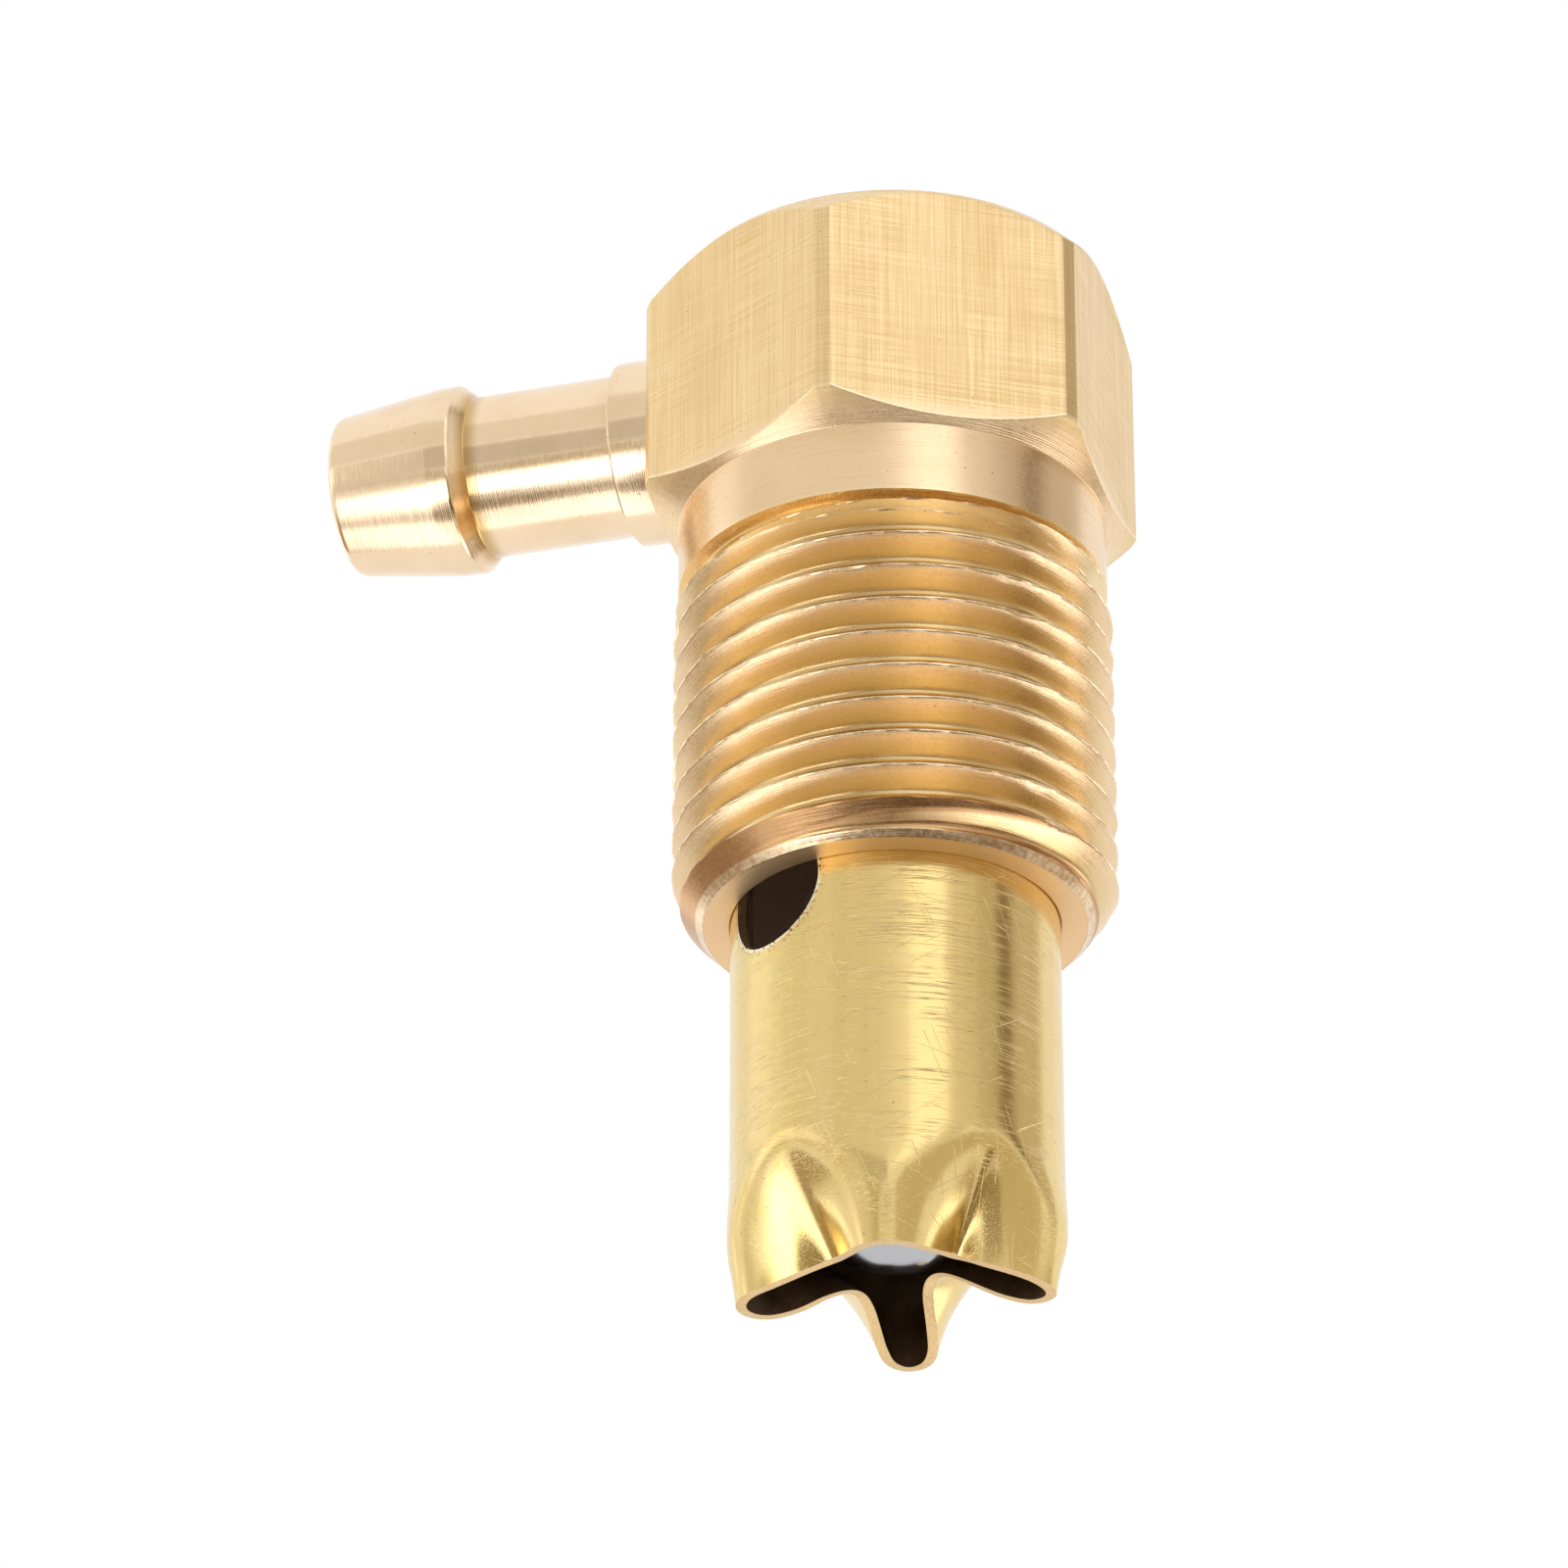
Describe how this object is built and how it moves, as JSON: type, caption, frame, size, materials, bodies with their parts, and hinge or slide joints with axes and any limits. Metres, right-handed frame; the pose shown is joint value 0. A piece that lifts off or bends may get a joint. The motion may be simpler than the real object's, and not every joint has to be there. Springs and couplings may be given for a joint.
{
  "type": "tank vent valve",
  "caption": "Roll-over vent valve with hexagonal head, straight pipe thread, side hose barb and a crimped cage tube that holds a steel ball.",
  "frame": {"origin": "on the thread axis, where the hexagon's lower chamfer meets the plain collar above the thread", "axes": "+Z along the thread axis towards the hexagon's top; the cage mouth points along -Z and the hose barb along -X"},
  "size_m": [0.0394, 0.025, 0.0553],
  "materials": {
    "body_brass": "machined, lightly tarnished",
    "stem_brass": "turned, bright",
    "tube_brass": "drawn tube, satin with fine scratches",
    "ball_steel": "polished bearing steel",
    "seat_rubber": "moulded, matt"
  },
  "bodies": {
    "valve": {"valve_body": "body_brass", "barb_stem": "stem_brass", "cage_tube": "tube_brass", "seat_ring": "seat_rubber"},
    "ball": {"ball": "ball_steel"}
  },
  "joints": [
    {"name": "ball_travel", "type": "slide", "parent": "valve", "child": "ball", "axis": [0, 0, 1], "range_m": [0, 0.02525]}
  ]
}
